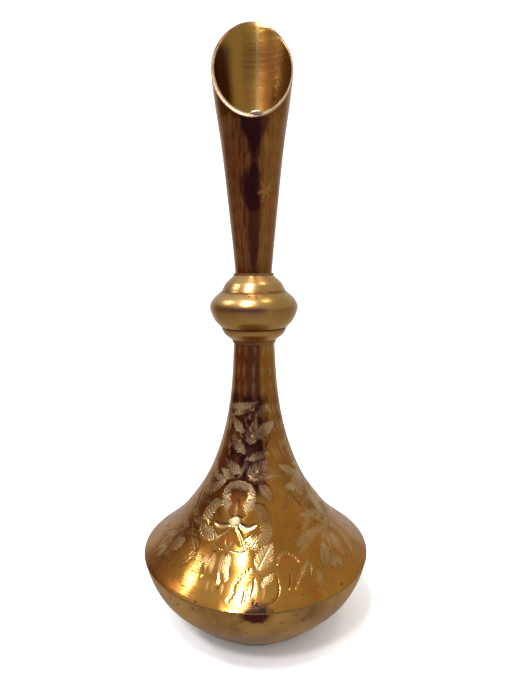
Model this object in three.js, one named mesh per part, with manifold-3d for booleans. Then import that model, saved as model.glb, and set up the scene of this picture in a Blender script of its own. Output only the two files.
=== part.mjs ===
// Engraved brass bud vase: foot ring, dish, bell-shaped body, beaded knop and a trumpet neck
// that is cut off on a slant. Millimetres, +Z up. The table is Z = 0, the turning axis is
// X = Y = 0, and the low lip of the mouth points to -Y.
import * as THREE from 'three';
import { mergeVertices } from 'three/addons/utils/BufferGeometryUtils.js';
import Module from 'manifold-3d';

// Driving dimensions
const HEIGHT = 203;              // table to the back tip of the mouth
const SEAM_HEIGHT = 25.5;        // sharp edge where dish and bell meet
const SEAM_RADIUS = 39.2;
const FOOT_HEIGHT = 2.0;
const FOOT_RADIUS = 21.0;
const FOOT_WIDTH = 2.8;          // radial width of the ring's flat underside
const SHELL_WALL = 1.1;          // spun sheet of the dish and the bell
const NECK_WALL = 0.75;          // rolled sheet of the trumpet
const SOLDER_FILM = 0.3;         // thickness of solder between two pieces
const GAP = 0.05;                // air left between neighbouring solids
const FIT = 0.1;                 // clearance of the knop's bore on the tubes inside it

const BELL_TOP = 109;            // end of the bell's neck, inside the knop
const NECK_BOTTOM = 103.2;       // end of the trumpet, pushed into the bell's neck
const KNOP_BOTTOM = 98.9;
const KNOP_TOP = 120.3;
const KNOP_STEP = 109.4;         // where the knop's bore steps down to the trumpet

const LIP_HEIGHT = 167.4;        // lowest point of the slanted mouth, at the front
const BORE_LEAN_X = 0.003;       // the bore leans right and back, so the wall is thickest
const BORE_LEAN_Y = 0.005;       // front left and thin at the back tip
const BRAZE_WIDTH = 1.0;         // seam that closes the rolled trumpet
const BRAZE_TURN = -8;           // degrees from the back, towards +X
const LIP_BEAD = { width: 1.5, depth: 0.9, height: 0.7 };
const LIP_BEAD_TURN = 6;         // degrees from the front, towards +X

const SEGMENTS = 48;             // sides of every turned piece

// Outlines as [radius, height], bottom to top; curves run smoothly through the points
const DISH_SIDE = [[20.9, 2.3], [25.2, 4.1], [29.0, 7.8], [33.2, 12.2], [36.1, 16.4],
  [38.2, 21.5], [SEAM_RADIUS, SEAM_HEIGHT - SOLDER_FILM / 2 - GAP]];
const BELL_SIDE = [[SEAM_RADIUS, SEAM_HEIGHT + SOLDER_FILM / 2 + GAP], [32.5, 31.1],
  [26.4, 37.0], [18.6, 47.5], [13.8, 57.3], [10.0, 69.4], [7.9, 82.4], [6.95, 96.3],
  [6.6, BELL_TOP]];
const NECK_SIDE = [[5.15, NECK_BOTTOM], [6.05, 122], [7.9, 141.3], [9.8, 159.9],
  [12.0, 175], [13.1, 186], [13.35, 196], [13.3, HEIGHT + 2]];
const LOWER_BEAD = [[7.3, KNOP_BOTTOM], [10.0, 101.1], [10.9, 103.2]];
const MAIN_BEAD = [[10.9, 103.2], [13.2, 105.8], [14.6, 109.7], [13.5, 112.7], [10.6, 115.2]];
const UPPER_BEAD = [[10.6, 115.2], [9.2, 117.8], [6.6, KNOP_TOP]];

const BRASS = { color: '#b58a3c', roughness: 0.25, metalness: 1 };
const WORN_BRASS = { color: '#a27a45', roughness: 0.4, metalness: 1 };
const CAST_BRASS = { color: '#bb9148', roughness: 0.22, metalness: 1 };
const BRAZE = { color: '#b7a070', roughness: 0.4, metalness: 1 };
const SOLDER = { color: '#8d877b', roughness: 0.5, metalness: 1 };

const wasm = await Module();
wasm.setup();
const vase = new THREE.Group();

function add(name, geometry, finish) {
  const mesh = new THREE.Mesh(geometry, new THREE.MeshStandardMaterial(finish));
  mesh.name = name;
  vase.add(mesh);
}

// A smooth run of points through a hand-set outline
function smooth(outline, steps) {
  const curve = new THREE.SplineCurve(outline.map(([r, z]) => new THREE.Vector2(r, z)));
  return curve.getPoints(steps);
}

// Radius of an outline at a height
function radiusAt(points, height) {
  const next = points.findIndex((p) => p.y >= height);
  const [a, b] = [points[Math.max(next - 1, 0)], points[Math.max(next, 1)]];
  return THREE.MathUtils.mapLinear(height, a.y, b.y, a.x, b.x);
}

// Left-hand normal of the run a to b, which points into the vase for an outline going up
function inwardNormal(a, b) {
  const along = b.clone().sub(a).normalize();
  return new THREE.Vector2(-along.y, along.x);
}

// The outline moved inwards by the wall; its two ends stay at their own height or on the axis
function offsetInwards(points, wall) {
  const last = points.length - 1;
  return points.map((point, i) => {
    const before = inwardNormal(points[Math.max(i - 1, 0)], points[Math.max(i, 1)]);
    const after = inwardNormal(points[Math.min(i, last - 1)], points[Math.min(i + 1, last)]);
    if (point.x === 0) return new THREE.Vector2(0, point.y + wall);
    if (i === 0 || i === last) return new THREE.Vector2(point.x + wall / after.x, point.y);
    const miter = before.add(after).normalize();
    return point.clone().addScaledVector(miter, wall / miter.dot(after));
  });
}

// Turned solid: the profile runs up the outside and down the inside
function turned(profile) {
  const closed = profile[0].x === 0 ? profile : [...profile, profile[0]];
  const geometry = new THREE.LatheGeometry(closed, SEGMENTS);
  return geometry.rotateX(Math.PI / 2);
}

function shell(outside, wall) {
  return turned([...outside, ...offsetInwards(outside, wall).reverse()]);
}

// Turned solid without a bore
function plug(outside) {
  const onAxis = (point) => new THREE.Vector2(0, point.y);
  return turned([onAxis(outside[0]), ...outside, onAxis(outside.at(-1))]);
}

function ring(corners) {
  return turned(corners.map(([r, z]) => new THREE.Vector2(r, z)));
}

function toSolid(geometry) {
  const bare = geometry.clone();
  bare.deleteAttribute('normal');
  bare.deleteAttribute('uv');
  const welded = mergeVertices(bare, 1e-4);
  const vertProperties = new Float32Array(welded.attributes.position.array);
  const triVerts = new Uint32Array(welded.index.array);
  return new wasm.Manifold(new wasm.Mesh({ numProp: 3, vertProperties, triVerts }));
}

function toGeometry(solid) {
  const mesh = solid.getMesh();
  const geometry = new THREE.BufferGeometry();
  geometry.setAttribute('position', new THREE.BufferAttribute(mesh.vertProperties, 3));
  geometry.setIndex(new THREE.BufferAttribute(mesh.triVerts, 1));
  return geometry;
}

const dishSide = smooth(DISH_SIDE, 12);
const bellSide = smooth(BELL_SIDE, 20);
const neckSide = smooth(NECK_SIDE, 16);

function footRing() {
  const chamfer = 0.4;
  const inside = FOOT_RADIUS - chamfer - FOOT_WIDTH;
  return ring([[inside, 0], [FOOT_RADIUS - chamfer, 0], [FOOT_RADIUS, chamfer],
    [FOOT_RADIUS - chamfer, FOOT_HEIGHT], [inside, FOOT_HEIGHT]]);
}

// Solder between the ring's top and the dish's flat bottom
function footSolder() {
  const inside = FOOT_RADIUS - FOOT_WIDTH;
  const outside = DISH_SIDE[0][0] - FIT;
  const low = FOOT_HEIGHT + GAP;
  const high = DISH_SIDE[0][1] - GAP;
  return ring([[inside, low], [outside, low], [outside, high], [inside, high]]);
}

function baseDish() {
  const bottomCentre = new THREE.Vector2(0, dishSide[0].y);
  return shell([bottomCentre, ...dishSide], SHELL_WALL);
}

function shoulderSeamSolder() {
  const low = SEAM_HEIGHT - SOLDER_FILM / 2;
  const high = SEAM_HEIGHT + SOLDER_FILM / 2;
  const inside = SEAM_RADIUS - SHELL_WALL;
  return ring([[inside, low], [SEAM_RADIUS, low], [SEAM_RADIUS, high], [inside, high]]);
}

// Three beads in one casting, on a stepped bore that takes both tubes
function knopCollar() {
  const beads = [...smooth(LOWER_BEAD, 4), ...smooth(MAIN_BEAD, 10).slice(1),
    ...smooth(UPPER_BEAD, 4).slice(1)];
  const bore = [
    [radiusAt(neckSide, KNOP_TOP), KNOP_TOP], [radiusAt(neckSide, KNOP_STEP), KNOP_STEP],
    [radiusAt(bellSide, KNOP_STEP - 1), KNOP_STEP], [radiusAt(bellSide, KNOP_BOTTOM), KNOP_BOTTOM],
  ];
  return turned([...beads, ...bore.map(([r, z]) => new THREE.Vector2(r + FIT, z))]);
}

function knopLowerSolder() {
  const high = KNOP_BOTTOM - GAP;
  const low = high - 0.7;
  return ring([[radiusAt(bellSide, low) + GAP, low], [LOWER_BEAD[0][0], high],
    [radiusAt(bellSide, high) + GAP, high]]);
}

function knopUpperSolder() {
  const low = KNOP_TOP + GAP;
  const high = low + 0.7;
  return ring([[radiusAt(neckSide, low) + GAP, low], [UPPER_BEAD[2][0], low],
    [radiusAt(neckSide, high) + GAP, high]]);
}

// Sleeve of solder between the bell's neck and the trumpet pushed into it
function neckSocketSolder() {
  const low = NECK_BOTTOM + GAP;
  const high = BELL_TOP - GAP;
  const outer = (z) => radiusAt(bellSide, z) - SHELL_WALL - 2 * GAP;
  const inner = (z) => radiusAt(neckSide, z) + GAP;
  return ring([[inner(low), low], [outer(low), low], [outer(high), high], [inner(high), high]]);
}

// Everything above the plane of the mouth, raised by a clearance
function aboveMouth(clearance) {
  const size = HEIGHT;
  const backRadius = radiusAt(neckSide, HEIGHT);
  const frontRadius = radiusAt(neckSide, LIP_HEIGHT);
  const slant = Math.atan2(HEIGHT - LIP_HEIGHT, frontRadius + backRadius);
  const block = new THREE.BoxGeometry(size, size, size);
  block.translate(0, 0, size / 2 + clearance);
  block.rotateX(slant);
  block.translate(0, -frontRadius, LIP_HEIGHT);
  return toSolid(block);
}

// Trumpet wall: the turned outside less a bore that leans, cut off along the mouth
function neckWall() {
  const lean = new THREE.Matrix4().makeShear(0, 0, 0, 0, BORE_LEAN_X, BORE_LEAN_Y);
  const inside = offsetInwards(neckSide, NECK_WALL);
  inside.unshift(inside[0].clone().setY(NECK_BOTTOM - 1));
  inside.push(inside.at(-1).clone().setY(inside.at(-1).y + 1));
  const bore = plug(inside).translate(0, 0, -NECK_BOTTOM);
  bore.applyMatrix4(lean).translate(0, 0, NECK_BOTTOM);
  return toSolid(plug(neckSide)).subtract(toSolid(bore)).subtract(aboveMouth(0));
}

// Upright slab at the back of the trumpet where the rolled sheet's edges meet
function seamSlab(width) {
  const reach = 20;
  const slab = new THREE.BoxGeometry(width, reach, 2 * HEIGHT);
  slab.translate(0, reach / 2 + width, HEIGHT / 2);
  return toSolid(slab.rotateZ(THREE.MathUtils.degToRad(BRAZE_TURN)));
}

// Small mound of solder sitting on the cut face at the lowest point of the lip
function lipSolderBead() {
  const mound = new THREE.SphereGeometry(1, 16, 10);
  mound.scale(LIP_BEAD.width, LIP_BEAD.depth, LIP_BEAD.height);
  mound.translate(0, -radiusAt(neckSide, LIP_HEIGHT) + LIP_BEAD.depth, LIP_HEIGHT + 1);
  mound.rotateZ(THREE.MathUtils.degToRad(LIP_BEAD_TURN));
  return toSolid(mound).intersect(aboveMouth(GAP));
}

const wall = neckWall();

add('foot_ring', footRing(), WORN_BRASS);
add('foot_solder', footSolder(), SOLDER);
add('base_dish', baseDish(), WORN_BRASS);
add('shoulder_seam_solder', shoulderSeamSolder(), SOLDER);
add('body_bell', shell(bellSide, SHELL_WALL), BRASS);
add('knop_lower_solder', knopLowerSolder(), SOLDER);
add('knop_collar', knopCollar(), CAST_BRASS);
add('neck_socket_solder', neckSocketSolder(), SOLDER);
add('knop_upper_solder', knopUpperSolder(), SOLDER);
add('neck_tube', toGeometry(wall.subtract(seamSlab(BRAZE_WIDTH))), BRASS);
add('neck_seam_braze', toGeometry(wall.intersect(seamSlab(BRAZE_WIDTH - 2 * GAP))), BRAZE);
add('lip_solder_bead', toGeometry(lipSolderBead()), SOLDER);

export default vase;
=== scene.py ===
"""Engraved brass bud vase: a spun dish and bell on a turned foot ring, a cast knop and a rolled
trumpet neck cut off on a slant. The pieces follow in the order in which the vase is put together."""
import math

import bmesh
import bpy
import numpy as np
from mathutils import Matrix, Vector
from mathutils.bvhtree import BVHTree


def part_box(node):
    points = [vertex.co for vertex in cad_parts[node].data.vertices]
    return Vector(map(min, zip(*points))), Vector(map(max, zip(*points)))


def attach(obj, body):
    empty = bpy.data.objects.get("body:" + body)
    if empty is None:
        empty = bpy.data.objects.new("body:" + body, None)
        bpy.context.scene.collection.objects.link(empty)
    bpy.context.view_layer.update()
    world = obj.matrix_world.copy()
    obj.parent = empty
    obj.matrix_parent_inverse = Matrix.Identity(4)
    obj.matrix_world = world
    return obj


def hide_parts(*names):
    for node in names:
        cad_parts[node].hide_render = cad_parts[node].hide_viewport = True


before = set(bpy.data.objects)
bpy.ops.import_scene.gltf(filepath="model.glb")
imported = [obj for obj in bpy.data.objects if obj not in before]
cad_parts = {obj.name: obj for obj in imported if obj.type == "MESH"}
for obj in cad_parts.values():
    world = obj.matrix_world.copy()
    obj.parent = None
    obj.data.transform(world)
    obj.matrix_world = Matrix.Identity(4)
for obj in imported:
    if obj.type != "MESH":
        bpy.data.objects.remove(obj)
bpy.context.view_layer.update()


# ---------------------------------------------------------------------------------------------
# Foot ring. A ring turned from brass bar, 2 mm tall, that carries the whole vase. Its underside
# is faced flat. It is painted dark brown: painted shade for the shadow it stands in under the dish.

MM = 0.001


def surface_radius(node, height, inside=False, towards=(0, -1)):
    """Outer or inner radius of a CAD node's wall at a height, in metres, on one side."""
    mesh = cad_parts[node].data
    tree = BVHTree.FromPolygons([v.co for v in mesh.vertices], [p.vertices for p in mesh.polygons])
    side = Vector((*towards, 0))
    across = Vector((-side.y, side.x, 0))
    start = across * 1e-6 + side * (0 if inside else 1) + Vector((0, 0, height))
    found = tree.ray_cast(start, side if inside else -side)[0]
    return abs(found.dot(side))


def smooth(points, steps):
    """Catmull-Rom curve through the points, with so many steps between each two."""
    points = np.array(points, float)
    padded = np.vstack([2 * points[0] - points[1], points, 2 * points[-1] - points[-2]])
    t = np.linspace(0, 1, steps, endpoint=False)[:, None]
    runs = []
    for a, b, c, d in zip(padded, padded[1:], padded[2:], padded[3:]):
        runs.append(b + t * (c - a) / 2 + t**2 * (a - 2.5 * b + 2 * c - d / 2)
                    + t**3 * (1.5 * (b - c) + (d - a) / 2))
    return np.vstack(runs + [points[-1:]])


def new_piece(name, vertices, faces, sharp=35):
    """A mesh object with smooth shading up to an angle, without doubled points."""
    mesh = bpy.data.meshes.new(name)
    mesh.from_pydata([tuple(v) for v in vertices], [], faces)
    work = bmesh.new()
    work.from_mesh(mesh)
    bmesh.ops.remove_doubles(work, verts=work.verts, dist=1e-7)
    bmesh.ops.recalc_face_normals(work, faces=work.faces)
    work.to_mesh(mesh)
    work.free()
    mesh.shade_smooth()
    mesh.set_sharp_from_angle(angle=math.radians(sharp))
    piece = bpy.data.objects.new(name, mesh)
    bpy.context.collection.objects.link(piece)
    return piece


def turned(name, profile, around=160, wobble=0.0, seed=0):
    """Turned piece from a closed profile of (radius, height) in metres. wobble is how far the
    radius wanders, for beads of solder that flowed instead of being cut."""
    rng = np.random.default_rng(seed)
    angles = np.arange(around) * 2 * math.pi / around
    waves = sum(rng.uniform(-1, 1) * np.sin(k * angles + rng.uniform(0, 6)) for k in range(2, 14))
    drift = wobble * waves / 3
    radius, height = np.array(profile).T
    grow = radius[None, :] + drift[:, None] * (radius > radius.mean())
    points = np.stack([grow * np.sin(angles)[:, None], -grow * np.cos(angles)[:, None],
                       np.broadcast_to(height, grow.shape)], axis=-1).reshape(-1, 3)
    count = len(radius)
    faces = []
    for i in range(around):
        for j in range(count):
            a, b = i * count, (i + 1) % around * count
            k = (j + 1) % count
            faces.append((a + j, b + j, b + k, a + k))
    return new_piece(name, points, faces)


def soften(piece, width):
    """Breaks the sharp edges of a piece, as a file or a buff does."""
    bevel = piece.modifiers.new("broken edges", "BEVEL")
    bevel.width = width
    bevel.segments = 2
    bevel.limit_method = "ANGLE"
    bevel.angle_limit = math.radians(35)


def mount_piece(piece, material, slot, *nodes):
    """Gives a piece its finish and puts it in the place of its CAD nodes, on the one rigid body."""
    piece.data.materials.append(material)
    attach(piece, "root")
    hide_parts(*nodes)


def linear(code):
    """Linear RGBA from an sRGB hex colour."""
    channels = [int(code[i:i + 2], 16) / 255 for i in (1, 3, 5)]
    return [c / 12.92 if c <= 0.04045 else ((c + 0.055) / 1.055) ** 2.4 for c in channels] + [1]


def add_node(material, kind, inputs=None, **settings):
    """Adds a shader node: settings are its properties; inputs gives each socket a value, or the
    socket or node it is linked from. A node stands for its first output."""
    tree = material.node_tree
    node = tree.nodes.new("ShaderNode" + kind)
    for key, value in settings.items():
        setattr(node, key, value)
    for key, value in (inputs or {}).items():
        if isinstance(value, bpy.types.Node):
            value = value.outputs[0]
        if isinstance(value, bpy.types.NodeSocket):
            tree.links.new(value, node.inputs[key])
        else:
            node.inputs[key].default_value = value
    return node


def new_material(name):
    """An empty material, for nodes that work in the object's own place, in metres."""
    material = bpy.data.materials.new(name)
    material.use_nodes = True
    material.node_tree.nodes.clear()
    return material


def shaded_turned_brass():
    """Turned brass, dull, with fine rings from the tool, painted dark brown in patches over the
    yellow metal: painted shade for the shadow under the dish."""
    material = new_material("turned brass with painted shade")
    place = add_node(material, "TexCoord").outputs["Object"]
    patches = add_node(material, "TexNoise", {"Vector": place, "Scale": 0.4 / MM, "Detail": 6.0})
    # Painted shade: dark browns for the shadow under the dish and the dark the foot mirrors.
    colour = add_node(material, "MixRGB", {"Fac": patches, "Color1": linear("#3a2412"),
                                           "Color2": linear("#8a683a")})
    stretched = add_node(material, "Mapping", {"Vector": place, "Scale": (0.1, 0.1, 12.0)})
    rings = add_node(material, "TexNoise", {"Vector": stretched, "Scale": 1 / MM, "Detail": 3.0})
    bump = add_node(material, "Bump", {"Height": rings, "Strength": 0.3, "Distance": 0.03 * MM})
    shader = add_node(material, "BsdfPrincipled", {"Base Color": colour, "Metallic": 1.0,
                                                   "Roughness": 0.42, "Normal": bump})
    add_node(material, "OutputMaterial", {"Surface": shader})
    return material


FOOT_CHAMFER = 0.4 * MM
foot_low, foot_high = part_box("foot_ring")
foot_inside = surface_radius("foot_ring", (foot_low[2] + foot_high[2]) / 2, inside=True)
foot_outside = foot_high[0]
foot_ring = turned("foot_ring_turned", [
    (foot_inside, foot_low[2]), (foot_outside - FOOT_CHAMFER, foot_low[2]),
    (foot_outside, foot_low[2] + FOOT_CHAMFER), (foot_outside - FOOT_CHAMFER, foot_high[2]),
    (foot_inside, foot_high[2])])
soften(foot_ring, 0.12 * MM)
mount_piece(foot_ring, shaded_turned_brass(), "plain_brass", "foot_ring")


# ---------------------------------------------------------------------------------------------
# Foot solder. Soft solder that was run between the ring and the dish and stands a little proud
# of the joint all the way round, brown and lumpy.

def soft_solder(name, dark, light):
    """Tin and lead solder: half matt, with a skin that froze in small waves. Where hands rub it,
    it is bright and pale; along the seams it has gone brown and matches the brass."""
    material = new_material(name)
    place = add_node(material, "TexCoord").outputs["Object"]
    cloud = add_node(material, "TexNoise", {"Vector": place, "Scale": 1.2 / MM, "Detail": 5.0})
    colour = add_node(material, "MixRGB", {"Fac": cloud, "Color1": linear(dark), "Color2": linear(light)})
    bump = add_node(material, "Bump", {"Height": cloud, "Strength": 0.6, "Distance": 0.12 * MM})
    shader = add_node(material, "BsdfPrincipled", {"Base Color": colour, "Metallic": 1.0,
                                                   "Roughness": 0.46, "Normal": bump})
    add_node(material, "OutputMaterial", {"Surface": shader})
    return material


seam_solder = soft_solder("browned soft solder", "#8a7040", "#b89c68")


def solder_ring(node, swell, seed):
    """A ring of solder in its CAD node's place, its outside swollen past the joint and uneven."""
    low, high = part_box(node)
    middle = (low[2] + high[2]) / 2
    inside = surface_radius(node, middle, inside=True)
    outside = high[0]
    profile = [(inside, low[2]), (outside, low[2]), (outside + swell, middle),
               (outside, high[2]), (inside, high[2])]
    mount_piece(turned(node + "_bead", profile, wobble=swell, seed=seed), seam_solder, "solder", node)


solder_ring("foot_solder", 0.1 * MM, seed=3)


# ---------------------------------------------------------------------------------------------
# Base dish. Sheet brass spun over a former into a shallow bowl with a flat closed bottom. It
# was never engraved: only scratches, dull spots and a red stain where the zinc has leached out.

DISH_HEIGHTS = (0.02, 0.08, 0.2, 0.36, 0.54, 0.72, 0.87, 0.999)
DISH_WALL = 1.1 * MM


def wall_outline(node, shares):
    """(radius, height) up the outside of a node, at shares of its height."""
    low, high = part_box(node)
    heights = [low[2] + share * (high[2] - low[2]) for share in shares]
    return [(surface_radius(node, z), z) for z in heights]


def inner_side(outline, wall):
    """The outline moved inwards by the wall, ends kept at their own height."""
    outline = np.array(outline)
    run = np.gradient(outline, axis=0)
    run /= np.linalg.norm(run, axis=1)[:, None]
    inner = outline + wall * np.stack([-run[:, 1], run[:, 0]], axis=1)
    for end in (0, -1):
        inner[end] = outline[end] - [wall / abs(run[end, 1]), 0]
    return inner


seam_radius, _, seam_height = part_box("shoulder_seam_solder")[1]
STAIN_ANGLE = math.radians(-1.0)
STAIN_CENTRE = (seam_radius * math.sin(STAIN_ANGLE), -seam_radius * math.cos(STAIN_ANGLE),
                seam_height - 0.8 * MM)


def stain_mask(material, place):
    """One ragged stain across the seam, about 10 mm wide, from 0 outside to 1 in its middle."""
    shift = add_node(material, "VectorMath", {0: place, 1: STAIN_CENTRE}, operation="SUBTRACT")
    shape = add_node(material, "VectorMath", {0: shift, 1: (1.0, 0.5, 1.5)}, operation="MULTIPLY")
    ragged = add_node(material, "TexNoise", {"Vector": place, "Scale": 0.5 / MM, "Detail": 4.0})
    reach = add_node(material, "VectorMath", {0: shape}, operation="LENGTH").outputs["Value"]
    edge = add_node(material, "Math", {0: ragged, 1: 4 * MM, 2: reach}, operation="MULTIPLY_ADD")
    return add_node(material, "MapRange", {"Value": edge, "From Min": 5.2 * MM, "From Max": 7.4 * MM,
                                           "To Min": 1.0, "To Max": 0.0})


SCRATCH_DEPTH = 0.02 * MM
WAVE_DEPTH = 0.2 * MM


def hand_wear(material, place):
    """Normal of sheet that has been handled: soft waviness about 8 mm across and fine scratches
    that mostly run round the piece."""
    wave = add_node(material, "TexNoise", {"Vector": place, "Scale": 0.12 / MM, "Detail": 1.0})
    waved = add_node(material, "Bump", {"Height": wave, "Strength": 1.0, "Distance": WAVE_DEPTH})
    flattened = add_node(material, "Mapping", {"Vector": place, "Scale": (0.15, 0.15, 2.5)})
    lines = add_node(material, "TexNoise", {"Vector": flattened, "Scale": 1.6 / MM, "Detail": 4.0})
    return add_node(material, "Bump", {"Height": lines, "Strength": 1.0, "Distance": SCRATCH_DEPTH,
                                       "Normal": waved})


def spotted_spun_brass():
    """Spun sheet brass with its first polish worn off: golden brown, cloudy, with brown specks
    of tarnish, long scratches and one wine-red stain at the front of the seam."""
    material = new_material("spotted spun brass")
    place = add_node(material, "TexCoord").outputs["Object"]
    cloud = add_node(material, "TexNoise", {"Vector": place, "Scale": 0.06 / MM, "Detail": 5.0,
                                            "Roughness": 0.6})
    share = add_node(material, "MapRange", {"Value": cloud, "From Min": 0.36, "From Max": 0.62})
    ground = add_node(material, "MixRGB", {"Fac": share, "Color1": linear("#8c6734"),
                                           "Color2": linear("#c49c58")})
    speck = add_node(material, "TexNoise", {"Vector": place, "Scale": 0.55 / MM, "Detail": 3.0})
    speck_mask = add_node(material, "MapRange", {"Value": speck, "From Min": 0.62, "From Max": 0.72,
                                                 "To Max": 0.8})
    specked = add_node(material, "MixRGB", {"Fac": speck_mask, "Color1": ground,
                                            "Color2": linear("#57401f")})
    stained = add_node(material, "MixRGB", {"Fac": stain_mask(material, place), "Color1": specked,
                                            "Color2": linear("#4f1a20")})
    rough = add_node(material, "MapRange", {"Value": cloud, "From Min": 0.3, "From Max": 0.7,
                                            "To Min": 0.26, "To Max": 0.42})
    shader = add_node(material, "BsdfPrincipled", {"Base Color": stained, "Metallic": 1.0,
                                                   "Roughness": rough,
                                                   "Normal": hand_wear(material, place)})
    add_node(material, "OutputMaterial", {"Surface": shader})
    return material


dish_low, dish_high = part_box("base_dish")
dish_side = smooth(wall_outline("base_dish", DISH_HEIGHTS), 5)
dish_side[-1, 1] = dish_high[2]
flat_edge = dish_side[0, 0] - 0.4 * MM
dish_bottom = [(share * flat_edge, dish_low[2]) for share in (0, 0.5, 1)]
dish_outside = np.vstack([dish_bottom, dish_side])
dish_inside = inner_side(dish_outside, DISH_WALL)
dish_inside[0] = (0, dish_low[2] + DISH_WALL)
base_dish = turned("base_dish_spun", np.vstack([dish_outside, dish_inside[::-1]]), around=192)
mount_piece(base_dish, spotted_spun_brass(), "plain_brass", "base_dish")


# ---------------------------------------------------------------------------------------------
# Shoulder seam. Dish and bell meet edge to edge, and a hairline of soft solder, run in from
# outside and scraped flush, holds them together all the way round.

solder_ring("shoulder_seam_solder", 0.02 * MM, seed=5)


# ---------------------------------------------------------------------------------------------
# Body bell. Sheet brass spun in one piece from the wide shoulder up to a neck that a finger and
# thumb can close round. The engraver then cut three flowers round it, each under a leafy stem,
# with a bright V graver for lines and a lining graver for the frosted hatching.

BELL_SHARES = (0.001, 0.066, 0.137, 0.262, 0.38, 0.525, 0.68, 0.845, 0.999)
BELL_WALL = 1.1 * MM
BELL_BANDS = ((720, 74, 0.27), (360, 108, 0.7), (120, 30, 1.0))   # columns, rows, end as a share
LINING = 120
CUT_DEPTH = 0.17 * MM
FLOWERS = 3
FLOWER_ANGLE = math.radians(-19)
FLOWER_HEIGHT = 25.5             # millimetres up the slope from the seam


def rise(value, start, end):
    """0 before start, 1 after end, smooth between."""
    t = np.clip((value - start) / (end - start), 0, 1)
    return t * t * (3 - 2 * t)


class Sheet:
    """The outside of an engraved piece, as a height field over its vertices. angle is the
    azimuth from the front, up the length along the slope and radius the turning radius, both in
    millimetres. groove, frost and relief grow as the engraver works; lines counts hatch lines;
    copper is where a torch or the years have drawn copper to the surface; the darkening field
    marks polished ground painted dark, a painted reflection of the dark in front."""

    def __init__(self, angle, up, radius):
        self.angle, self.up, self.radius = angle, up, radius
        self.groove, self.frost = np.zeros(angle.shape), np.zeros(angle.shape)
        self.relief, self.lines = np.zeros(angle.shape), np.zeros(angle.shape)
        self.copper, self.dark_reflection = np.zeros(angle.shape), np.zeros(angle.shape)

    def patch(self, angle, up, around, above, below, seed):
        """The part round a point that reaches so many millimetres to each side, up and down."""
        return Patch(self, angle, up, around, above, below, seed)


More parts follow.
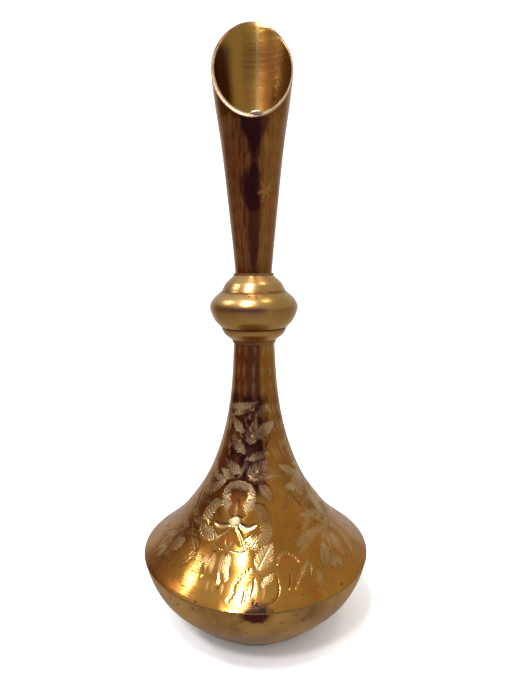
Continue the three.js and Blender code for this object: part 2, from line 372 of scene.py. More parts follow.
class Patch:
    """A part of a sheet with its own flat axes, x round and y up, where one motif is drawn."""

    def __init__(self, sheet, angle, up, around, above, below, seed):
        turn = (sheet.angle - angle + math.pi) % (2 * math.pi) - math.pi
        x = turn * sheet.radius
        y = sheet.up - up
        self.pick = np.flatnonzero((np.abs(x) < around) & (y < above) & (y > -below))
        self.sheet, self.x, self.y = sheet, x[self.pick], y[self.pick]
        self.rng = np.random.default_rng(seed)

    def unsteady(self, points, shake=0.15):
        """The points as a hand places them."""
        points = np.array(points, float)
        return points + self.rng.uniform(-shake, shake, points.shape)

    def nearest(self, line):
        """Distance to a polyline, the share of its length at the nearest point, and its length."""
        steps = np.hypot(*np.diff(line, axis=0).T)
        starts = np.concatenate([[0], np.cumsum(steps)])
        best, share = np.full(self.x.shape, 1e3), np.zeros(self.x.shape)
        for (ax, ay), (bx, by), step, start in zip(line, line[1:], steps, starts):
            t = ((self.x - ax) * (bx - ax) + (self.y - ay) * (by - ay)) / max(step, 1e-6) ** 2
            t = np.clip(t, 0, 1)
            gap = np.hypot(self.x - ax - t * (bx - ax), self.y - ay - t * (by - ay))
            closer = gap < best
            best = np.where(closer, gap, best)
            share = np.where(closer, (start + t * step) / starts[-1], share)
        return best, share, starts[-1]

    def inside(self, outline):
        """Which vertices lie within a closed outline."""
        odd = np.zeros(self.x.shape, bool)
        for (ax, ay), (bx, by) in zip(outline, np.roll(outline, -1, axis=0)):
            if ay == by:
                continue
            crossed = (self.y < ay) != (self.y < by)
            odd ^= crossed & (self.x < ax + (self.y - ay) / (by - ay) * (bx - ax))
        return odd

    def cut(self, amount):
        groove = self.sheet.groove
        groove[self.pick] = np.maximum(groove[self.pick], amount)

    def hatch(self, amount, lines):
        """Frosts part of the patch with lines, given as a running count of hatch lines."""
        old = self.sheet.frost[self.pick]
        self.sheet.lines[self.pick] = np.where(amount > old, lines, self.sheet.lines[self.pick])
        self.sheet.frost[self.pick] = np.maximum(old, amount)

    def clear(self, where):
        """Takes off what was drawn under a shape that lies on top."""
        for field in (self.sheet.groove, self.sheet.frost, self.sheet.relief):
            field[self.pick] = np.where(where, 0, field[self.pick])

    def blotch(self, kind, x, y, size, lean=0.0, amount=0.45):
        """A soft ragged spot of copper colour or of painted dark reflection, stretched along the seam by
        lean.
        """
        away = np.hypot((self.x - x) / (1 + lean), self.y - y) + 0.5 * np.sin(2.3 * self.x + self.y)
        field = getattr(self.sheet, kind)
        field[self.pick] = np.maximum(field[self.pick], amount * rise(size - away, -1.0, size * 0.7))

    def stroke(self, points, width=0.8, depth=1.0):
        """One push of the graver: it enters, widens and leaves, so both ends are points."""
        line = smooth(self.unsteady(points), 4) if len(points) > 2 else self.unsteady(points)
        gap, share = self.nearest(line)[:2]
        half = width / 2 * np.sin(math.pi * np.clip(share, 0.02, 0.98)) ** 0.5
        self.cut(depth * np.clip(1 - gap / half, 0, 1))

    def ticks(self, points, spacing=1.1, length=0.9, width=0.55):
        """A row of short separate cuts along a line."""
        gap, share, total = self.nearest(smooth(np.array(points, float), 5))
        count = max(round(total / spacing), 2)
        beat = np.abs((share * count) % 1 - 0.5) * spacing
        self.cut(rise(length / 2 - gap, -0.1, 0.25) * np.clip(1.4 - beat / (width / 2), 0, 1))

    def leaf(self, base, tip, width, bend=0.0, pale=0.75):
        """A feathered leaf: slanted hatch strokes out of a midrib, so that its edge is ragged.
        t runs from 0 at its base to 1 at its tip, and side is the distance from the midrib."""
        (ax, ay), (bx, by) = self.unsteady([base, tip], 0.25)
        length = math.hypot(bx - ax, by - ay)
        dx, dy = (bx - ax) / length, (by - ay) / length
        t = ((self.x - ax) * dx + (self.y - ay) * dy) / length
        across = (self.y - ay) * dx - (self.x - ax) * dy - bend * 4 * t * (1 - t)
        side = np.abs(across)
        along = t * length - side * 0.9
        pitch = self.rng.uniform(0.85, 1.5)
        feather = self.rng.uniform(0.15, 0.7)
        stray = 0.9 * np.sin(1.9 * self.x + ax) * np.sin(1.6 * self.y + by)
        veins = 0.5 + 0.5 * np.cos(2 * math.pi * along / pitch + stray)
        half = width / 2 * np.sin(math.pi * np.clip(t, 0, 1) ** 0.8) ** 0.8
        reach = half * (0.78 + 0.34 * veins)
        near = (t > 0) & (t < 1)
        inside = near & (side < reach)
        self.clear(inside)
        midrib = 0.6 * np.clip(1 - side / 0.32, 0, 1)
        outline = 0.35 * np.clip(1 - np.abs(side - half) / 0.26, 0, 1)
        self.cut(np.where(near, np.maximum(midrib, outline), 0))
        self.cut(np.where(inside, 0.6 * feather * veins * rise(reach - side, 0.0, 0.4), 0))
        amount = np.where(inside, rise(reach - side, 0, 0.4) * (1 - feather + feather * veins), 0)
        self.hatch(amount * pale * (0.75 + 0.25 * np.sin(5 * t + ax)), along / HATCH)

    def blade(self, base, tip, width, pale):
        """A pointed stroke of the lining graver: fine lines that run along it."""
        gap, share, length = self.nearest(np.array([base, tip], float))
        half = width / 2 * np.sin(math.pi * np.clip(share, 0.02, 0.98) ** 0.7) ** 0.7
        side = (self.x - base[0]) * (tip[1] - base[1]) - (self.y - base[1]) * (tip[0] - base[0])
        across = side / length
        amount = rise(half - gap, -0.2, 0.7)
        self.cut(0.07 * amount * (0.5 + 0.5 * np.cos(2 * math.pi * across / 0.8)))
        self.hatch(amount * pale, across / HATCH)

    def petal(self, outline, rim, pitch, depth=0.5, hollow=0.14, pale=0.6, plain=4.5, soft=0.5):
        """A petal with a cut outline, ribs round its outer rim and a smooth hollowed middle."""
        line = smooth(np.vstack([outline, outline[:1]]), 5)
        gap, share, total = self.nearest(line)
        inside = self.inside(line[:-1])
        self.clear(inside)
        self.cut(0.6 * np.clip(1 - gap / 0.34, 0, 1))
        count = round(total / pitch)
        ribs = 0.5 + 0.5 * np.cos(2 * math.pi * share * count)
        reach = rim * (0.8 + 0.25 * ribs) * rise(np.hypot(self.x, self.y), plain, plain + 2.5)
        band = np.where(inside, rise(reach - gap, 0, soft), 0)
        self.cut(band * ribs * depth * rise(gap, 0.1, 0.6))
        self.hatch(band * pale * (0.35 + 0.65 * ribs), share * round(total / HATCH))
        bowl = np.where(inside, rise(gap, rim * 0.5, rim * 0.5 + 2.4), 0)
        self.sheet.relief[self.pick] -= bowl * hollow


HATCH = 0.55                     # spacing of the lining graver; coarser than the real 0.25 mm

TOP_PETAL = ((-2.3, 1.2), (-4.8, 4.2), (-5.8, 7.4), (-4.8, 10.4), (-2.0, 12.3), (1.2, 12.6),
             (4.0, 11.3), (5.5, 8.6), (5.3, 5.8), (3.9, 3.6), (2.2, 1.2))
LEFT_PETAL = ((-1.6, 1.5), (-4.4, 4.4), (-6.8, 5.6), (-9.0, 4.9), (-11.2, 2.6), (-12.7, -0.8),
              (-13.1, -3.8), (-12.0, -6.2), (-9.4, -7.2), (-6.2, -6.6), (-3.4, -4.5), (-1.3, -2.0))
RIGHT_PETAL = ((1.6, 1.5), (3.5, 4.3), (5.4, 5.7), (7.4, 5.4), (9.8, 3.4), (11.5, 0.4),
               (12.2, -2.7), (11.3, -5.6), (8.6, -7.8), (6.0, -7.0), (3.3, -4.4), (1.3, -1.8))
LOW_PETAL = ((-1.4, -1.6), (-3.6, -4.6), (-5.6, -7.2), (-3.6, -9.0), (-0.6, -8.6), (2.6, -9.2),
             (5.4, -8.4), (4.6, -6.4), (2.8, -4.0), (1.3, -1.6))


def flower(patch):
    """The large flower: two ribbed side petals, a round top one, a low one and its heart."""
    patch.petal(LOW_PETAL, rim=1.0, pitch=1.0, depth=0.2, hollow=0.06, pale=0.2)
    patch.petal(LEFT_PETAL, rim=4.2, pitch=1.25, depth=0.8, hollow=0.1, pale=0.55, plain=6.0)
    patch.petal(RIGHT_PETAL, rim=3.8, pitch=1.15, depth=0.6, hollow=0.1, pale=0.25, plain=5.5)
    patch.petal(TOP_PETAL, rim=3.4, pitch=0.7, depth=0.2, hollow=0.07, pale=0.95, plain=3.0, soft=1.5)
    patch.blotch("copper", -0.2, 6.4, 3.6, amount=0.6)
    patch.blotch("copper", -2.0, 2.6, 1.8)
    patch.stroke([(-0.1, 1.4), (0.2, 4.0), (-0.2, 6.8)], width=1.3)
    patch.stroke([(-1.3, -0.9), (-4.2, -2.0), (-7.0, -1.6)], width=1.9)
    patch.stroke([(1.6, -0.5), (4.4, -1.7), (7.0, -0.6)], width=1.9)
    patch.stroke([(-0.9, -2.0), (-2.6, -3.6), (-4.4, -5.0)], width=1.0, depth=0.6)
    patch.stroke([(1.0, -1.8), (2.6, -3.9), (5.0, -7.8)], width=1.4)
    patch.stroke([(-1.6, -4.6), (-1.5, -6.6), (-0.6, -7.5), (0.3, -6.8), (0.8, -5.2)], width=1.1, depth=0.5)
    heart = np.array(((-1.8, 0.6), (0.0, 1.5), (1.6, 1.2), (1.8, -0.7), (0.0, -1.6), (-1.3, -1.3)))
    where = patch.inside(heart)
    gap = patch.nearest(np.vstack([heart, heart[:1]]))[0]
    patch.clear(where)
    patch.cut(np.clip(1 - gap / 0.4, 0, 1))
    patch.hatch(np.where(where, rise(gap, 0, 0.3), 0), (patch.x + patch.y) / HATCH)


def blades(patch, spots, length, width=1.2, lean=0.3, pale=0.6):
    """Upright strokes of the lining graver, side by side like grass."""
    for x, y in spots:
        grow = patch.rng.uniform(0.7, 1.25) * length
        shift = patch.rng.uniform(-0.4, 0.4)
        patch.blade((x + shift, y + grow / 2), (x + shift + lean, y - grow / 2), width,
                    pale * patch.rng.uniform(0.6, 1.2))


def leafy_stem(patch):
    """What grows over a flower: an upright stem, a crossing branch and leaves on both, with the
    polished ground between them painted dark, a painted reflection of the dark in front."""
    blades(patch, [(x, y) for y in (23, 29, 35) for x in (-10.5, -8.6, -6.6)], 4.4, width=1.3)
    blades(patch, [(x, 20.5) for x in (-15, -13, -11)], 4.6, width=1.4)
    for base, tip, width, bend, pale in (
            ((-15.5, 5.2), (-4.8, 12.4), 6.2, 1.2, 1.00), ((-9.8, 12.6), (-15.6, 17.0), 3.9, 0.6, 1.00),
            ((-13.5, 8.4), (-19.0, 9.6), 3.2, 0.3, 0.91), ((2.2, 13.2), (11.6, 13.6), 2.8, 0.3, 1.00),
            ((2.0, 14.2), (8.6, 19.0), 5.5, -0.5, 0.85), ((5.6, 12.0), (11.4, 5.6), 3.0, 0.3, 0.59),
            ((0.6, 15.2), (-7.4, 18.6), 3.9, 0.6, 0.98), ((-2.0, 13.4), (-8.8, 15.2), 3.0, 0.4, 1.00),
            ((1.4, 19.6), (9.0, 21.6), 3.2, 0.2, 0.78), ((0.4, 21.0), (-5.8, 26.2), 3.7, -0.4, 0.98),
            ((1.6, 24.4), (3.6, 32.8), 4.4, 0.3, 1.00), ((4.0, 26.6), (10.4, 31.2), 4.8, 0.2, 1.00),
            ((-0.2, 27.8), (-5.4, 33.2), 3.7, 0.4, 0.98), ((-4.8, 33.6), (2.6, 35.4), 3.4, 0.9, 1.00),
            ((-7.0, 35.6), (4.0, 38.4), 3.0, -0.4, 1.00), ((3.6, 33.6), (8.0, 37.4), 3.0, 0.2, 0.91)):
        patch.leaf(base, tip, width, bend=bend, pale=pale)
    patch.stroke([(1.9, 12.8), (1.3, 18.0), (1.1, 23.0), (1.2, 28.6)], width=1.3)
    patch.stroke([(-7.0, 15.0), (-2.2, 19.7), (1.3, 23.9), (5.0, 27.4)], width=0.9)
    patch.stroke([(-5.2, 17.4), (-2.6, 21.8), (0.2, 26.6)], width=0.8)
    for x, y, length in ((-4.6, 22.4, 2.8), (-6.3, 21.0, 3.2), (6.6, 22.6, 2.6), (8.0, 24.4, 2.6)):
        patch.stroke([(x, y), (x + 0.7, y + length)], width=0.9)
    # Painted reflection: dark spots on the polished ground between the leaves.
    for y in np.arange(11, 41, 3.4):
        for x in (-4.2, 0.8, 5.6):
            patch.blotch("dark_reflection", x + patch.rng.uniform(-1, 1), y + patch.rng.uniform(-1, 1), 2.3,
                         amount=0.8)
    for _ in range(54):
        y = patch.rng.uniform(13, 37)
        x = patch.rng.uniform(-1, 1) * (8.5 - 0.1 * y) - 1.0
        lean = patch.rng.uniform(-1.6, 1.6)
        patch.blade((x, y), (x + lean, y + patch.rng.uniform(1.2, 3.2)), 0.9, 0.9)
    blades(patch, [(x, y) for y in (42, 48, 55) for x in (-7.5, -5.6, -3.4, -1.0, 2.2, 5.0)], 5.4,
           width=1.4, lean=0.0, pale=0.4)


def side_spray(patch):
    """Between two flowers: a long bent branch with leaves, a small blossom and a hooded bud."""
    patch.stroke([(-0.5, 12.0), (1.5, 4.0), (7.0, -3.6), (13.0, -9.0)], width=0.9)
    for base, tip, width, bend, pale in (
            ((0.4, 9.0), (7.6, 10.8), 2.6, 0.3, 0.22), ((0.8, 7.0), (-5.6, 3.2), 2.2, 0.4, 0.19),
            ((2.6, 2.4), (10.4, 3.2), 2.8, 0.4, 0.34), ((4.4, -0.6), (-1.4, -4.4), 2.2, 0.4, 0.19),
            ((7.6, -4.4), (15.0, -3.2), 3.2, 0.4, 0.41), ((9.8, -6.4), (6.6, -13.6), 2.8, -0.4, 0.30),
            ((13.0, -9.0), (18.5, -12.4), 2.8, 0.4, 0.38), ((-1.5, 13.0), (-6.0, 18.0), 2.0, 0.3, 0.15)):
        patch.leaf(base, tip, width, bend=bend, pale=pale)
    for turn in range(6):
        a = turn * math.pi / 3
        x, y = -14.6 + 1.6 * math.cos(a), -0.8 + 1.6 * math.sin(a)
        patch.stroke([(x - 0.4 * math.cos(a), y - 0.4 * math.sin(a)),
                      (x + 0.7 * math.cos(a), y + 0.7 * math.sin(a))], width=1.1)
    patch.ticks([(-15.0, -12.6), (-13.2, -10.4), (-10.8, -9.4), (-8.6, -11.0), (-8.0, -13.2)])
    blades(patch, [(-10, 10), (-12, 6), (-9, 4), (-6, 13), (8, 15), (12, 12)], 2.2, width=0.8, pale=0.3)


def seam_border(patch):
    """Along the seam: a round bud, leaves that lean out, a scallop with a row of ticks, and a few
    copper-coloured spots where damp has stood."""
    blades(patch, [(x, -13.5) for x in (-9.6, -7.2, -4.8, -1.8, 0.6)], 6.4, width=2.4, pale=0.45)
    blades(patch, [(x, -20.0) for x in (-4.6, -2.4, 0.4, 6.6, 8.6, 10.8, 13.0)], 4.6, width=1.3, pale=0.3)
    patch.leaf((10.0, -14.0), (12.8, -6.0), 5.6, bend=0.2, pale=0.75)
    patch.leaf((12.0, -18.4), (15.4, -14.8), 2.6, pale=0.8)
    patch.stroke([(15.8, -15.0), (17.5, -19.0), (17.2, -22.0), (14.4, -23.3), (11.0, -22.9)])
    for x, y, size, lean in ((-16.0, -23.4, 1.7, 2.0), (-24.0, -17.0, 1.4, 0.8), (-40.0, -12.0, 1.8, 1.5),
                             (-8.0, -10.4, 1.6, 1.0), (-2.0, -5.0, 2.0, 1.0), (8.0, -24.0, 1.4, 3.0)):
        patch.blotch("copper", x, y, size, lean)
    patch.ticks([(8.0, -13.4), (5.2, -16.2), (4.0, -18.4), (4.2, -20.8), (3.0, -23.0)])
    for x, y, length in ((9.6, -16.0, 5.0), (7.4, -19.4, 3.6), (1.0, -14.0, 3.4), (-1.6, -15.4, 3.6),
                         (20.4, -15.6, 4.6), (27.4, -14.2, 4.2), (-7.6, -14.4, 3.6)):
        patch.stroke([(x, y), (x + 0.5, y - length / 2), (x + 0.4, y - length)], width=0.9)
    for base, tip, width, bend, pale in (
            ((-11.4, -10.6), (-21.0, -20.0), 2.8, 0.8, 0.22),
            ((-18.0, -10.6), (-25.4, -18.4), 3.6, -0.4, 0.5),
            ((-15.0, -7.6), (-27.0, -5.2), 2.8, 0.9, 0.5), ((-25.0, -11.0), (-36.0, -17.6), 3.0, 0.5, 0.5),
            ((-14.0, -2.0), (-23.0, 0.4), 2.8, 0.7, 0.5), ((-24.0, -5.8), (-34.0, -8.6), 2.8, 0.4, 0.45),
            ((-27.0, -14.6), (-31.0, -21.0), 2.8, 0.2, 0.5), ((33.0, -10.0), (42.0, -7.6), 3.4, 1.2, 0.5),
            ((34.6, -13.4), (40.0, -19.6), 3.8, 0.3, 0.6), ((23.0, -11.0), (30.4, -7.2), 2.6, 0.5, 0.3),
            ((22.6, -20.0), (26.8, -13.6), 2.6, 0.3, 0.3), ((30.4, -17.0), (33.0, -22.6), 2.8, 0.2, 0.45)):
        patch.leaf(base, tip, width, bend=bend, pale=pale)


def engrave_bell(sheet):
    """Each flower goes on last, over the leaves and the border that run under its petals."""
    gap = 2 * math.pi / FLOWERS
    for number in range(FLOWERS):
        angle = FLOWER_ANGLE + number * gap
        seam_border(sheet.patch(angle, FLOWER_HEIGHT, 46, 4, 25, seed=number))
        leafy_stem(sheet.patch(angle, FLOWER_HEIGHT, 20, 64, 0, seed=10 + number))
        side_spray(sheet.patch(angle + gap / 2, FLOWER_HEIGHT, 20, 22, 16, seed=20 + number))
        flower(sheet.patch(angle, FLOWER_HEIGHT, 15, 15, 12, seed=30 + number))


def lengths(outline):
    """Length along the slope at every point of an outline, in millimetres."""
    steps = np.hypot(*np.diff(outline, axis=0).T)
    return np.concatenate([[0], np.cumsum(steps)]) / MM


def knit(first, first_count, second, second_count):
    """Faces between two rings of vertices, the first with a whole multiple of the second."""
    ratio = first_count // second_count
    faces = []
    for j in range(second_count):
        left, right = second + j, second + (j + 1) % second_count
        for i in range(ratio):
            a = first + (j * ratio + i) % first_count
            b = first + (j * ratio + i + 1) % first_count
            if ratio == 1:
                faces.append((a, b, right, left))
            else:
                faces.append((a, b, left if i < ratio / 2 else right))
            if ratio > 1 and i == math.ceil(ratio / 2) - 1:
                faces.append((b, right, left))
    return faces


def ring_points(radius, height, count):
    """Points round the axis, the first in front."""
    angles = np.arange(count) * 2 * math.pi / count
    return np.stack([radius * np.sin(angles), -radius * np.cos(angles), np.full(count, height)], 1)


def store(piece, name, values):
    """Keeps one number per vertex with the mesh, for its material."""
    piece.data.attributes.new(name, "FLOAT", "POINT").data.foreach_set("value", values)


def bell_rings():
    """Slope length and number of columns of each ring of the bell's outside, closest together
    low down, where the flowers are."""
    total = lengths(bell_side)[-1]
    rings = []
    start = 0.0
    for columns, count, end in BELL_BANDS:
        places = np.linspace(start, end, count, endpoint=end == 1.0) * total
        rings += [(up, columns) for up in places]
        start = end
    return rings


def engraved_bell():
    """The bell's fine mesh: rings up the outside, engraved, then the plain inside."""
    slope = lengths(bell_side)
    run = np.gradient(bell_side, slope * MM, axis=0)
    angle, up, radius, points, normals, counts = [], [], [], [], [], []
    for s, columns in bell_rings():
        r, z = (np.interp(s, slope, bell_side[:, k]) for k in (0, 1))
        tr, tz = (np.interp(s, slope, run[:, k]) for k in (0, 1))
        points.append(ring_points(r, z, columns))
        normals.append(ring_points(tz, -tr, columns) / math.hypot(tr, tz))
        angle.append(np.arange(columns) * 2 * math.pi / columns)
        up.append(np.full(columns, s))
        radius.append(np.full(columns, r / MM))
        counts.append(columns)
    sheet = Sheet(np.concatenate(angle), np.concatenate(up), np.concatenate(radius))
    engrave_bell(sheet)
    depth = (sheet.relief * MM - sheet.groove * CUT_DEPTH) * rise(sheet.up, 0.2, 1.0)
    outer = np.vstack(points) + np.vstack(normals) * depth[:, None]
    inside = inner_side(bell_side, BELL_WALL)[::-3]
    lining = np.vstack([ring_points(r, z, LINING) for r, z in inside])
    counts += [LINING] * len(inside)
    starts = np.concatenate([[0], np.cumsum(counts)])
    faces = []
    for k in range(len(counts) - 1):
        faces += knit(starts[k], counts[k], starts[k + 1], counts[k + 1])
    faces += [face[::-1] for face in knit(0, counts[0], starts[-2], LINING)]
    piece = new_piece("body_bell_spun", np.vstack([outer, lining]), faces, sharp=60)
    spare = np.zeros(len(lining))
    # The painted reflection stays on the polished ground, off the cuts.
    sheet.dark_reflection *= 1 - np.maximum(sheet.frost, sheet.groove)
    for name in ("groove", "frost", "lines", "copper", "dark_reflection"):
        store(piece, name, np.concatenate([getattr(sheet, name), spare]))
    store(piece, "bore", np.concatenate([np.zeros(len(outer)), spare + 1]))
    return piece


def engraved_sheet_brass(name, dark, light, frosted):
    """Polished sheet brass that has been engraved: a deep yellow mirror between the cuts; some
    grooves pale and others painted dark, a painted reflection of the dark their walls mirror;
    frosted and rough where fine hatching is cut, with a paler colour there that is a painted
    sheen of the light the hatching scatters. The cut edge of the sheet is raw, pale and matt;
    inside the piece the tool has left rings."""
    material = new_material(name)
    place = add_node(material, "TexCoord").outputs["Object"]
    groove, frost, lines, copper, raw, bore, dark_reflection = (
        add_node(material, "Attribute", attribute_name=key).outputs["Fac"]
        for key in ("groove", "frost", "lines", "copper", "raw", "bore", "dark_reflection"))

    # The ground: cloudy brass with copper-coloured blushes and brown specks
    cloud = add_node(material, "TexNoise", {"Vector": place, "Scale": 0.09 / MM, "Detail": 6.0,
                                            "Roughness": 0.65})
    share = add_node(material, "MapRange", {"Value": cloud, "From Min": 0.32, "From Max": 0.68})
    ground = add_node(material, "MixRGB", {"Fac": share, "Color1": linear(dark), "Color2": linear(light)})
    rust = add_node(material, "TexNoise", {"Vector": place, "Scale": 0.13 / MM, "Detail": 5.0})
    rust_mask = add_node(material, "MapRange", {"Value": rust, "From Min": 0.6, "From Max": 0.72,
                                                "To Max": 0.55})
    blush = add_node(material, "Math", {0: rust_mask, 1: copper}, operation="MAXIMUM")
    rusted = add_node(material, "MixRGB", {"Fac": blush, "Color1": ground, "Color2": linear("#b0602a")})
    speck = add_node(material, "TexNoise", {"Vector": place, "Scale": 0.6 / MM, "Detail": 3.0})
    speck_mask = add_node(material, "MapRange", {"Value": speck, "From Min": 0.65, "From Max": 0.73,
                                                 "To Max": 0.8})
    specked = add_node(material, "MixRGB", {"Fac": speck_mask, "Color1": rusted,
                                            "Color2": linear("#5a3c18")})

    # The cuts: pale grooves, grooves painted dark (painted reflection), frosting painted paler (painted
    # sheen)
    # Painted reflection: noise turns some grooves dark brown, for the dark their walls mirror.
    groove_shade_noise = add_node(material, "TexNoise", {"Vector": place, "Scale": 0.07 / MM, "Detail": 3.0})
    groove_shade_mask = add_node(material, "MapRange", {"Value": groove_shade_noise, "From Min": 0.44, "From Max": 0.56})
    groove_colour_and_shade = add_node(material, "MixRGB", {"Fac": groove_shade_mask, "Color1": linear("#d2ba82"),
                                           "Color2": linear("#5c4424")})
    bright = add_node(material, "MixRGB", {"Fac": groove, "Color1": specked, "Color2": groove_colour_and_shade})
    stained = add_node(material, "MixRGB", {"Fac": stain_mask(material, place), "Color1": bright,
                                            "Color2": linear("#4a3322")})
    turn = add_node(material, "Math", {0: lines, 1: 2 * math.pi}, operation="MULTIPLY")
    wave = add_node(material, "Math", {0: turn}, operation="SINE")
    hatch = add_node(material, "MapRange", {"Value": wave, "From Min": -1.0, "To Min": 0.4,
                                            "To Max": 1.0})
    hatched = add_node(material, "Math", {0: hatch, 1: frost}, operation="MULTIPLY")
    # Painted sheen: hatched frosting takes the frosted colour, paler and greyer on the bell, for the light
    # the hatching scatters.
    pale = add_node(material, "MixRGB", {"Fac": hatched, "Color1": stained, "Color2": linear(frosted)})

    # The inside, the painted dark reflection and the raw edge
    unpolished = add_node(material, "MixRGB", {"Fac": copper, "Color1": linear("#a4803c"),
                                               "Color2": linear("#a4602a")})
    lining = add_node(material, "MixRGB", {"Fac": bore, "Color1": pale, "Color2": unpolished})
    # Painted reflection: dark maroon where the polished ground should mirror the dark in front.
    reflection_darkened = add_node(material, "MixRGB", {"Fac": dark_reflection, "Color1": lining,
                                              "Color2": linear("#4a2626")})
    cut_edge = add_node(material, "MixRGB", {"Fac": raw, "Color1": reflection_darkened,
                                             "Color2": linear("#8e7a60")})

    # Hatch lines and tool rings in the surface
    cut = add_node(material, "Math", {0: wave, 1: frost}, operation="MULTIPLY")
    lined = add_node(material, "Bump", {"Height": cut, "Strength": 1.0, "Distance": 0.02 * MM,
                                        "Normal": hand_wear(material, place)})
    ringed = add_node(material, "Mapping", {"Vector": place, "Scale": (0.02, 0.02, 1.0)})
    rings = add_node(material, "TexNoise", {"Vector": ringed, "Scale": 0.9 / MM, "Detail": 4.0})
    ring_depth = add_node(material, "Math", {0: rings, 1: bore}, operation="MULTIPLY")
    tooled = add_node(material, "Bump", {"Height": ring_depth, "Strength": 1.0, "Distance": 0.05 * MM,
                                         "Normal": lined})

    # Frosting, raw metal and the film over copper are duller than the polished ground
    film = add_node(material, "Math", {0: copper, 1: 0.45}, operation="MULTIPLY")
    matt = add_node(material, "Math", {0: frost, 1: raw}, operation="MAXIMUM")
    dull = add_node(material, "Math", {0: matt, 1: film}, operation="MAXIMUM")
    rough = add_node(material, "MapRange", {"Value": dull, "To Min": 0.13, "To Max": 0.42})
    rougher = add_node(material, "Math", {0: bore, 1: 0.12, 2: rough}, operation="MULTIPLY_ADD")
    metal = add_node(material, "MapRange", {"Value": dull, "To Min": 1.0, "To Max": 0.82})
    shader = add_node(material, "BsdfPrincipled", {"Base Color": cut_edge, "Metallic": metal,
                                                   "Roughness": rougher, "Normal": tooled})
    add_node(material, "OutputMaterial", {"Surface": shader})
    return material


bell_side = smooth(wall_outline("body_bell", BELL_SHARES), 10)
bell_low, bell_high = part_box("body_bell")
bell_side[0, 1], bell_side[-1, 1] = bell_low[2], bell_high[2]
bell_brass = engraved_sheet_brass("engraved spun brass", "#a87430", "#bc8a3e", "#aca684")
mount_piece(engraved_bell(), bell_brass, "engraved_brass", "body_bell")


# ---------------------------------------------------------------------------------------------
# Knop solder. A fillet of soft solder under the knop holds it to the bell's neck. It was run in
# with a torch and wiped down to a thin dark line.

solder_ring("knop_lower_solder", 0.02 * MM, seed=7)


# ---------------------------------------------------------------------------------------------
# Knop collar. Cast brass turned in the lathe to three beads with a tool line between each two.
# It hides the joint of the neck: both tubes end inside it.

# Heights above the table, in millimetres, from the bottom of each bead to its top
KNOP_BEADS = ((99.0, 100.0, 101.1, 102.3, 103.1),
              (103.3, 104.6, 105.8, 107.8, 109.7, 111.2, 112.7, 114.0, 115.1),
              (115.3, 116.5, 117.8, 119.0, 120.2))
KNOP_BORE = (99.3, 108.9, 109.9, 119.9)
TOOL_LINE = 0.1 * MM


def turned_cast_brass():
    """Cast brass, turned and polished: paler and greyer than the sheet, with the fine rings of
    the tool, small casting pits and brown left in the tool lines."""
    material = new_material("turned cast brass")
    place = add_node(material, "TexCoord").outputs["Object"]
    cloud = add_node(material, "TexNoise", {"Vector": place, "Scale": 0.12 / MM, "Detail": 5.0})
    ground = add_node(material, "MixRGB", {"Fac": cloud, "Color1": linear("#a98145"),
                                           "Color2": linear("#c4a468")})
    hollow = add_node(material, "Attribute", attribute_name="hollow").outputs["Fac"]
    brown = add_node(material, "MixRGB", {"Fac": hollow, "Color1": ground, "Color2": linear("#7d5a2a")})
    pits = add_node(material, "TexNoise", {"Vector": place, "Scale": 1.1 / MM, "Detail": 2.0})
    pit_mask = add_node(material, "MapRange", {"Value": pits, "From Min": 0.7, "From Max": 0.78})
    flattened = add_node(material, "Mapping", {"Vector": place, "Scale": (0.02, 0.02, 1.0)})
    rings = add_node(material, "TexNoise", {"Vector": flattened, "Scale": 2.5 / MM, "Detail": 4.0})
    height = add_node(material, "Math", {0: rings, 1: pit_mask}, operation="SUBTRACT")
    bump = add_node(material, "Bump", {"Height": height, "Strength": 1.0, "Distance": 0.02 * MM,
                                       "Normal": hand_wear(material, place)})
    rough = add_node(material, "MapRange", {"Value": cloud, "From Min": 0.3, "From Max": 0.7,
                                            "To Min": 0.22, "To Max": 0.32})
    shader = add_node(material, "BsdfPrincipled", {"Base Color": brown, "Metallic": 1.0,
                                                   "Roughness": rough, "Normal": bump})
    add_node(material, "OutputMaterial", {"Surface": shader})
    return material


def knop_outline():
    """The three beads with a tool line between them, then the stepped bore, as a closed line."""
    runs = []
    for bead in KNOP_BEADS:
        runs.append(smooth([(surface_radius("knop_collar", z * MM), z * MM) for z in bead], 5))
        runs.append([runs[-1][-1] + (-TOOL_LINE, 0.1 * MM)])
    bore = [(surface_radius("knop_collar", z * MM, inside=True), z * MM) for z in KNOP_BORE]
    low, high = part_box("knop_collar")
    bore[0], bore[-1] = (bore[0][0], low[2]), (bore[-1][0], high[2])
    return np.vstack([[(runs[0][0][0] - 0.1 * MM, low[2])]] + runs[:-1]
                     + [[(runs[-2][-1][0] - 0.1 * MM, high[2])]] + [bore[::-1]])


knop_piece = turned("knop_collar_turned", knop_outline(), around=192)
knop_z = np.array([v.co.z for v in knop_piece.data.vertices])
tool_line_gaps = [np.abs(knop_z - bead[-1] * MM) for bead in KNOP_BEADS[:2]]
store(knop_piece, "hollow", np.clip(1.2 - np.min(tool_line_gaps, axis=0) / (0.5 * MM), 0, 1))
mount_piece(knop_piece, turned_cast_brass(), "cast_brass", "knop_collar")


# ---------------------------------------------------------------------------------------------
# Neck sockets. A sleeve of solder fills the space between the tubes inside the knop, and a
# second thin fillet closes the knop against the neck tube.

solder_ring("neck_socket_solder", 0.0, seed=13)
solder_ring("knop_upper_solder", 0.02 * MM, seed=11)


# ---------------------------------------------------------------------------------------------
# Neck tube. Sheet brass rolled up, brazed shut along the back and stretched over a mandrel to a
# trumpet, thin at the back; then sawn off on a slant, filed and engraved like the bell.

